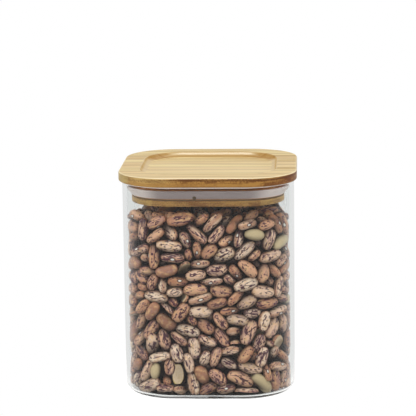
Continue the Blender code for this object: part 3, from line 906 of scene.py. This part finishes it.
def bamboo(name, shift, top_from, paint_sides):
    """Lacquered bamboo in strips along X, with long fibres, that is darker where it was sawn.

    Its top starts where it faces up as much as top_from. What paint_sides gives is the colour of
    its sides. It is told how dark the sawn wood is, and where it is and which way that faces.
    """
    material = bpy.data.materials.new(name)
    wood = Finish(material)
    place = wood.node("ShaderNodeTexCoord", (), "Object")
    x, y, z = place.parts()
    facing = wood.node("ShaderNodeTexCoord", (), "Normal").parts()
    to_right, to_back, upward = facing
    across = (y + shift) / STRIP_WIDTH
    strip = across.math("FLOOR")
    tone = wood.node("ShaderNodeTexWhiteNoise", {"W": strip}, noise_dimensions="1D")
    hue = wood.node("ShaderNodeTexWhiteNoise", {"W": strip + HUES_APART}, noise_dimensions="1D")
    fibres = wood.noise(wood.stretched(place, FIBRE_SCALE), detail=3.0, roughness=0.6)
    broad = wood.noise(wood.stretched(place, STREAK_SCALE))
    streaks = (fibres - 0.5) * FIBRE_CONTRAST + (broad - 0.5) * STREAK_CONTRAST
    darkness = (tone * STRIP_CONTRAST + streaks + STRIP_DARKNESS).ramp(0.0, 1.0)
    colour = wood.mix(darkness, BAMBOO_LIGHT, BAMBOO_DARK)
    colour = wood.mix(hue.ramp(*WARM_STRIPS) * WARM_SHARE, colour, BAMBOO_WARM)
    to_joint = (across.math("FRACT") - 0.5).math("ABSOLUTE")
    colour = wood.mix(to_joint.ramp(*GLUE_LINES) * GLUE_SHARE, colour, BAMBOO_GLUE)
    sloping = (1.0 - upward.ramp(*SLOPE_TOP)) * upward.ramp(*SLOPE_FOOT)
    from_middle = x.math("ABSOLUTE").math("MAXIMUM", y.math("ABSOLUTE"))
    inside = 1.0 - (from_middle - RECESS_HALF_WIDTH).ramp(*LIP_WIDTH)
    # Painted light: the floor of the recess is made lighter, against the shade that falls into it.
    on_floor = 1.0 - (z - recess_floor).ramp(*FLOOR_EDGE)
    colour = wood.mix(on_floor * FLOOR_SHARE, colour, RECESS_FLOOR_PAINTED_LIGHT)
    at_ends = to_right.math("ABSOLUTE").ramp(*COVE_ENDS) * (1.0 - upward.ramp(*COVE_ENDS_UP))
    cut_ends = (fibres * 0.6 + broad * 1.6 - 0.6).ramp(0.0, 0.8)
    cove = wood.mix(at_ends * (cut_ends * 0.5 + 0.5), BAMBOO_COVE, BAMBOO_COVE_END)
    to_front = 0.0 - to_back
    # Painted shade: darker at the foot of the back cove and in the recess's back corners, which also get
    # less coat.
    foot = upward.ramp(*COVE_FOOT_UP) * to_front.ramp(*COVE_FOOT_FRONT)
    to_side = to_right.math("ABSOLUTE").ramp(*COVE_TURN_SIDE)
    turning = to_side * to_front.ramp(*COVE_TURN_FRONT)
    cove_foot_shade = foot.math("MAXIMUM", turning)
    cove = wood.mix(cove_foot_shade * COVE_FOOT_SHARE, cove, COVE_FOOT_SHADE)
    # Sloping wood: a painted highlight on the eased outer edges, and the cove's colour inside the recess.
    colour = wood.mix(sloping * SLOPE_SHARE, colour, wood.mix(inside, EDGE_HIGHLIGHT, cove))
    lines = wood.noise(wood.stretched(place, LINE_SCALE))
    figure = wood.noise(wood.stretched(place, FIGURE_SCALE), detail=4.0, roughness=0.65)
    pores = wood.noise(place, PORE_SCALE)
    sawn = (lines - 0.5) * LINE_CONTRAST + (figure - 0.5) * FIGURE_CONTRAST + (pores - 0.5) * PORE_CONTRAST
    sides = paint_sides(wood, (sawn + 0.5).ramp(0.0, 1.0), (x, y, z), facing)
    colour = wood.mix(1.0 - upward.ramp(top_from - SIDE_BLEND, top_from), colour, sides)
    raised = {"Strength": 0.15, "Distance": FIBRE_BUMP, "Height": fibres}
    bump = wood.node("ShaderNodeBump", raised)
    surface = wood.node("ShaderNodeBsdfPrincipled", {
        "Base Color": colour,
        "Roughness": at_ends * sloping * SAWN_ROUGHER + BAMBOO_ROUGHNESS,
        "Specular IOR Level": 0.30,
        "Coat Weight": sloping * to_front.ramp(*COVE_GLEAM) * (COVE_COAT - cove_foot_shade * COVE_COAT_LOST),
        "Coat Roughness": LACQUER_ROUGHNESS,
        "Coat IOR": LACQUER_IOR,
        "Normal": bump,
    })
    wood.node("ShaderNodeOutputMaterial", {"Surface": surface})
    return material


def on(reach, section):
    """A section's points, with where their corners are centred."""
    return [(out, height, reach) for out, height in section]


edge = BOARD_EDGE_RADIUS
board_section = [(board_half - edge - FLAT_MARGIN, board_low.z)]
board_section += arc(board_half - edge, board_low.z + edge, edge, -90, 0, steps=4)
board_section += arc(board_half - edge, board_high.z - edge, edge, 0, 90, steps=6)
board_section += [(board_half - edge - FLAT_MARGIN, board_high.z)]
board_section = on(board_reach, board_section)
cove_end = math.degrees(math.asin((RECESS_DEPTH - COVE_RADIUS) / COVE_RADIUS))
cove_middle = RECESS_HALF_WIDTH - COVE_RADIUS * math.cos(math.radians(cove_end))
recess_section = [(RECESS_HALF_WIDTH + RECESS_LIP_RADIUS + FLAT_MARGIN, board_high.z)]
recess_section += [(RECESS_HALF_WIDTH + RECESS_LIP_RADIUS / 2, board_high.z)]
cove_height = recess_floor + COVE_RADIUS
cove_start = cove_end - RECESS_LIP_TURN
recess_section += arc(cove_middle, cove_height, COVE_RADIUS, cove_start, -90, steps=10)
recess_section += [(cove_middle - FLAT_MARGIN, recess_floor)]
board_section += on(recess_reach, recess_section)


def paint_board_sides(wood, sawn, place, facing):
    """Brown, paler to the left and darker and redder on the right end, partly the wood's own colour
    and partly painted light and shade; lighter along the bottom except where it faces right, and with a
    dark line under the top edge.
    """
    x, _, z = place
    to_right, _, _ = facing
    sides = wood.mix(sawn, SIDE_LIGHT, SIDE_DARK)
    # Partly painted light and shade: paler towards the left, darker and redder on the right end.
    sides = wood.mix((0.0 - x).ramp(*PALE_SPAN) * (0.75 - sawn * 0.45), sides, SIDE_PALE)
    lower_half = 1.0 - (z - board_low.z).ramp(*LOWER_HALF)
    sides = wood.mix(lower_half * (1.0 - to_right.ramp(*LEFT_TURN)) * 0.6, sides, SIDE_LIGHT)
    sides = wood.mix((0.0 - to_right).ramp(*LEFT_END) * (1.0 - sawn * 0.4), sides, SIDE_END)
    sides = wood.mix(to_right.ramp(*RIGHT_TURN) * (0.45 + sawn * 0.5), sides, SIDE_RED)
    off_line = (z - (board_high.z - SIDE_LINE_DROP)).math("ABSOLUTE")
    line = (1.0 - off_line.ramp(0.0, SIDE_LINE_HALF)) * x.ramp(*SIDE_LINE_SPAN)
    return wood.mix(line * SIDE_LINE_SHARE, sides, SIDE_LINE)


board_finish = bamboo("bamboo_board_finish", BOARD_SHIFT, BOARD_TOP_FROM, paint_board_sides)
board = add_squared("recessed_top_board", board_section, board_finish)
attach(board, "lid")
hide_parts("lid_top_board")


# The plug board is thicker bamboo, glued under the top board. It fits inside the glass with a
# little room to spare, and a groove for the seal is routed all round its edge.
PLUG_CORNER_RADIUS = 0.0245
PLUG_EDGE_RADIUS = 0.0005
GROOVE_LOW = 0.1172
GROOVE_HIGH = 0.1234
GROOVE_DEPTH = 0.0026
PLUG_SIDE_LIGHT = (0.48, 0.26, 0.070, 1)
PLUG_SIDE_DARK = (0.24, 0.100, 0.022, 1)
PLUG_END = (0.62, 0.40, 0.12, 1)
PLUG_NECK_PAINTED_LIGHT = (0.80, 0.38, 0.080, 1)
PLUG_ENDS = (0.0305, 0.0312)
PLUG_NECK_RISE = 0.0020
plug_low, plug_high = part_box("lid_plug_board")
plug_half = plug_high.x
plug_reach = plug_half - PLUG_CORNER_RADIUS
edge = PLUG_EDGE_RADIUS
plug_section = [(plug_half - edge - FLAT_MARGIN, plug_low.z)]
plug_section += arc(plug_half - edge, plug_low.z + edge, edge, -90, 0, steps=4)
plug_section += arc(plug_half - edge, GROOVE_LOW - edge, edge, 0, 90, steps=4)
plug_section += [(plug_half - GROOVE_DEPTH, GROOVE_LOW), (plug_half - GROOVE_DEPTH, GROOVE_HIGH)]
plug_section += arc(plug_half - edge, GROOVE_HIGH + edge, edge, -90, 0, steps=4)
plug_section += arc(plug_half - edge, plug_high.z - edge, edge, 0, 90, steps=4)
plug_section += [(plug_half - edge - FLAT_MARGIN, plug_high.z)]


def paint_plug_sides(wood, sawn, place, facing):
    """Brown, paler round the corners, with painted light over the seal and a painted shadow line under it.
    """
    x, _, z = place
    sides = wood.mix(sawn, PLUG_SIDE_LIGHT, PLUG_SIDE_DARK)
    at_corner = x.math("ABSOLUTE").ramp(*PLUG_ENDS)
    sides = wood.mix(at_corner * (1.0 - sawn * 0.6) * 0.7, sides, PLUG_END)
    # Painted light: the plug's neck over the seal is made lighter and warmer, against the shade under the
    # top board.
    sides = wood.mix(z.ramp(GROOVE_HIGH - PLUG_NECK_RISE, GROOVE_HIGH), sides, PLUG_NECK_PAINTED_LIGHT)
    # Painted shadow: a dark line along the top of the flange, under the seal.
    off_line = (z - GROOVE_LOW).math("ABSOLUTE")
    line = 1.0 - off_line.ramp(0.0, SIDE_LINE_HALF)
    return wood.mix(line * SIDE_LINE_SHARE, sides, SIDE_LINE)


plug_finish = bamboo("bamboo_plug_finish", 0.0, 1.0, paint_plug_sides)
plug = add_squared("grooved_plug_board", on(plug_reach, plug_section), plug_finish)
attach(plug, "lid")
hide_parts("lid_plug_board")


# The seal is a ring of translucent white silicone. Its band sits in the plug's groove, and its
# flap leans out and up to the glass.
SEAL_BAND = 0.0023
SEAL_FLAP = 0.0009
SEAL_FLAP_RISE = 0.0010
SEAL_LIP = 0.0014
SEAL_EDGE_RADIUS = 0.0002
SEAL_GREY = (0.35, 0.285, 0.28, 1)
SEAL_PAINTED_LIGHT = (0.75, 0.65, 0.615, 1)
SEAL_WOOD_REFLECTION = (0.75, 0.32, 0.070, 1)
NOTCH_COLOUR = (0.08, 0.045, 0.008, 1)
NOTCH_AT = -0.0065
NOTCH_HEIGHT = 0.0013
NOTCH_RADIUS = 0.0012
NOTCH_DARKEST = 0.00096
SEAL_SHADOW = (0.055, 0.038, 0.035, 1)
SEAL_PAINTED_LIGHT_SPAN = (0.022, 0.040)
SEAL_CLOUD_SCALE = 60.0
SEAL_CLOUDS = 0.3
SEAL_FACES_IN = 0.010
SEAL_BY_WOOD = (0.0002, 0.0006)
SEAL_FOOT = (0.0002, 0.0006)
SEAL_SHADOW_SHARE = 0.85
SEAL_ROUGHNESS = 0.40
SEAL_SOFT_LIGHT = 0.4
SEAL_SUBSURFACE_DEPTH = 0.002
seal_low, seal_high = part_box("seal_ring")
seal_out = seal_high.x
seal_root = plug_half
seal_in = plug_half - SEAL_BAND
seal_section = [
    (seal_in, seal_low.z),
    (seal_root, seal_low.z),
    (seal_out, seal_high.z - SEAL_LIP),
    (seal_out, seal_high.z),
    (seal_out - SEAL_FLAP, seal_high.z),
    (seal_root, seal_low.z + SEAL_FLAP_RISE),
    (seal_root, seal_high.z),
    (seal_in, seal_high.z),
]
silicone = bpy.data.materials.new("silicone_finish")
rubber = Finish(silicone)
place = rubber.node("ShaderNodeTexCoord", (), "Object")
cloud = rubber.noise(place, SEAL_CLOUD_SCALE)
x, y, z = place.parts()
# Painted light: the seal is paler towards its ends, mottled with clouds.
painted_light_and_clouds = x.math("ABSOLUTE").ramp(*SEAL_PAINTED_LIGHT_SPAN) + (cloud - 0.5) * SEAL_CLOUDS
colour = rubber.mix(painted_light_and_clouds.ramp(0.0, 1.0), SEAL_GREY, SEAL_PAINTED_LIGHT)
# Painted reflection: the wood's colour on the seal where it faces and touches the plug, standing in for
# the wood that shows through the silicone and is mirrored in it.
facing = rubber.node("ShaderNodeTexCoord", (), "Normal")
level = rubber.stretched(place, (1, 1, 0))
outward = rubber.node("ShaderNodeVectorMath", {0: level, 1: facing}, 1, operation="DOT_PRODUCT")
corner = [(side.math("ABSOLUTE") - plug_reach).math("MAXIMUM", 0.0) for side in (x, y)]
from_corner = (corner[0] * corner[0] + corner[1] * corner[1]).math("SQRT")
past_wood = from_corner - (plug_half - plug_reach)
faces_in = (0.0 - outward).ramp(0.0, SEAL_FACES_IN)
painted_wood_reflection = faces_in.math("MAXIMUM", 1.0 - past_wood.ramp(*SEAL_BY_WOOD))
colour = rubber.mix(painted_wood_reflection, colour, SEAL_WOOD_REFLECTION)
at_foot = 1.0 - (z - seal_low.z).ramp(*SEAL_FOOT)
colour = rubber.mix(at_foot * SEAL_SHADOW_SHARE, colour, SEAL_SHADOW)
from_foot = z - (seal_low.z + NOTCH_HEIGHT)
from_notch = ((x - NOTCH_AT).math("POWER", 2.0) + from_foot.math("POWER", 2.0)).math("SQRT")
in_notch = (1.0 - from_notch.ramp(NOTCH_DARKEST, NOTCH_RADIUS)) * y.math("LESS_THAN", 0.0)
colour = rubber.mix(in_notch, colour, NOTCH_COLOUR)
surface = rubber.node("ShaderNodeBsdfPrincipled", {
    "Base Color": colour,
    "Roughness": SEAL_ROUGHNESS,
    "Subsurface Weight": SEAL_SOFT_LIGHT,
    "Subsurface Radius": (SEAL_SUBSURFACE_DEPTH,) * 3,
    "Subsurface Scale": 1.0,
})
rubber.node("ShaderNodeOutputMaterial", {"Surface": surface})
seal = add_squared("lid_seal", on(plug_reach, seal_section), silicone, closed=True)
soft_edges = seal.modifiers.new("soft_edges", "BEVEL")
soft_edges.limit_method = "ANGLE"
soft_edges.angle_limit = SHARP_ANGLE
soft_edges.width = SEAL_EDGE_RADIUS
soft_edges.segments = 3
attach(seal, "lid")
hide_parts("seal_ring")
